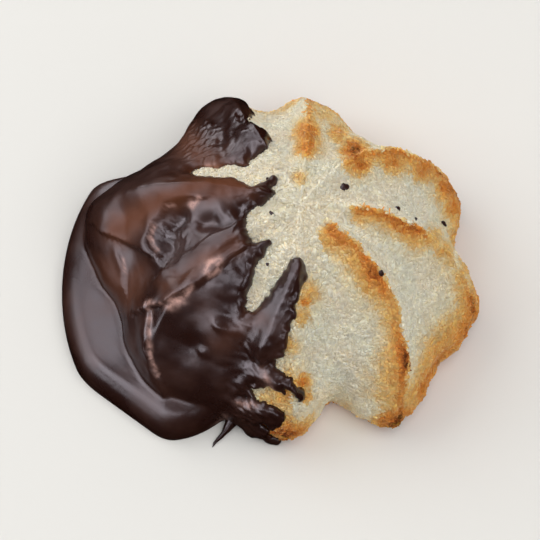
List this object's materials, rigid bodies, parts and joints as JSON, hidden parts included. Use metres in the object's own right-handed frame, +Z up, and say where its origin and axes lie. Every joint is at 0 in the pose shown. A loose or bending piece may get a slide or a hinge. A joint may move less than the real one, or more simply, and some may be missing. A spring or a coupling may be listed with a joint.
{
  "type": "coconut macaroon",
  "caption": "Star-piped coconut macaroon with swirled ridges and a browned crust, dipped to its middle in dark chocolate that runs out in fingers and sets in a rounded foot.",
  "frame": {"origin": "on the table, under the middle of the footprint", "axes": "+Z up through the crown, +X from the dipped end to the bare coconut end"},
  "size_m": [0.0606, 0.053, 0.027],
  "materials": {
    "baked_coconut": "matte, moist shredded coconut, cream with browned ridges",
    "dark_chocolate": "satin to glossy set dark chocolate"
  },
  "bodies": {
    "root": {"coconut_mound": "baked_coconut", "chocolate_coat": "dark_chocolate"}
  },
  "joints": []
}
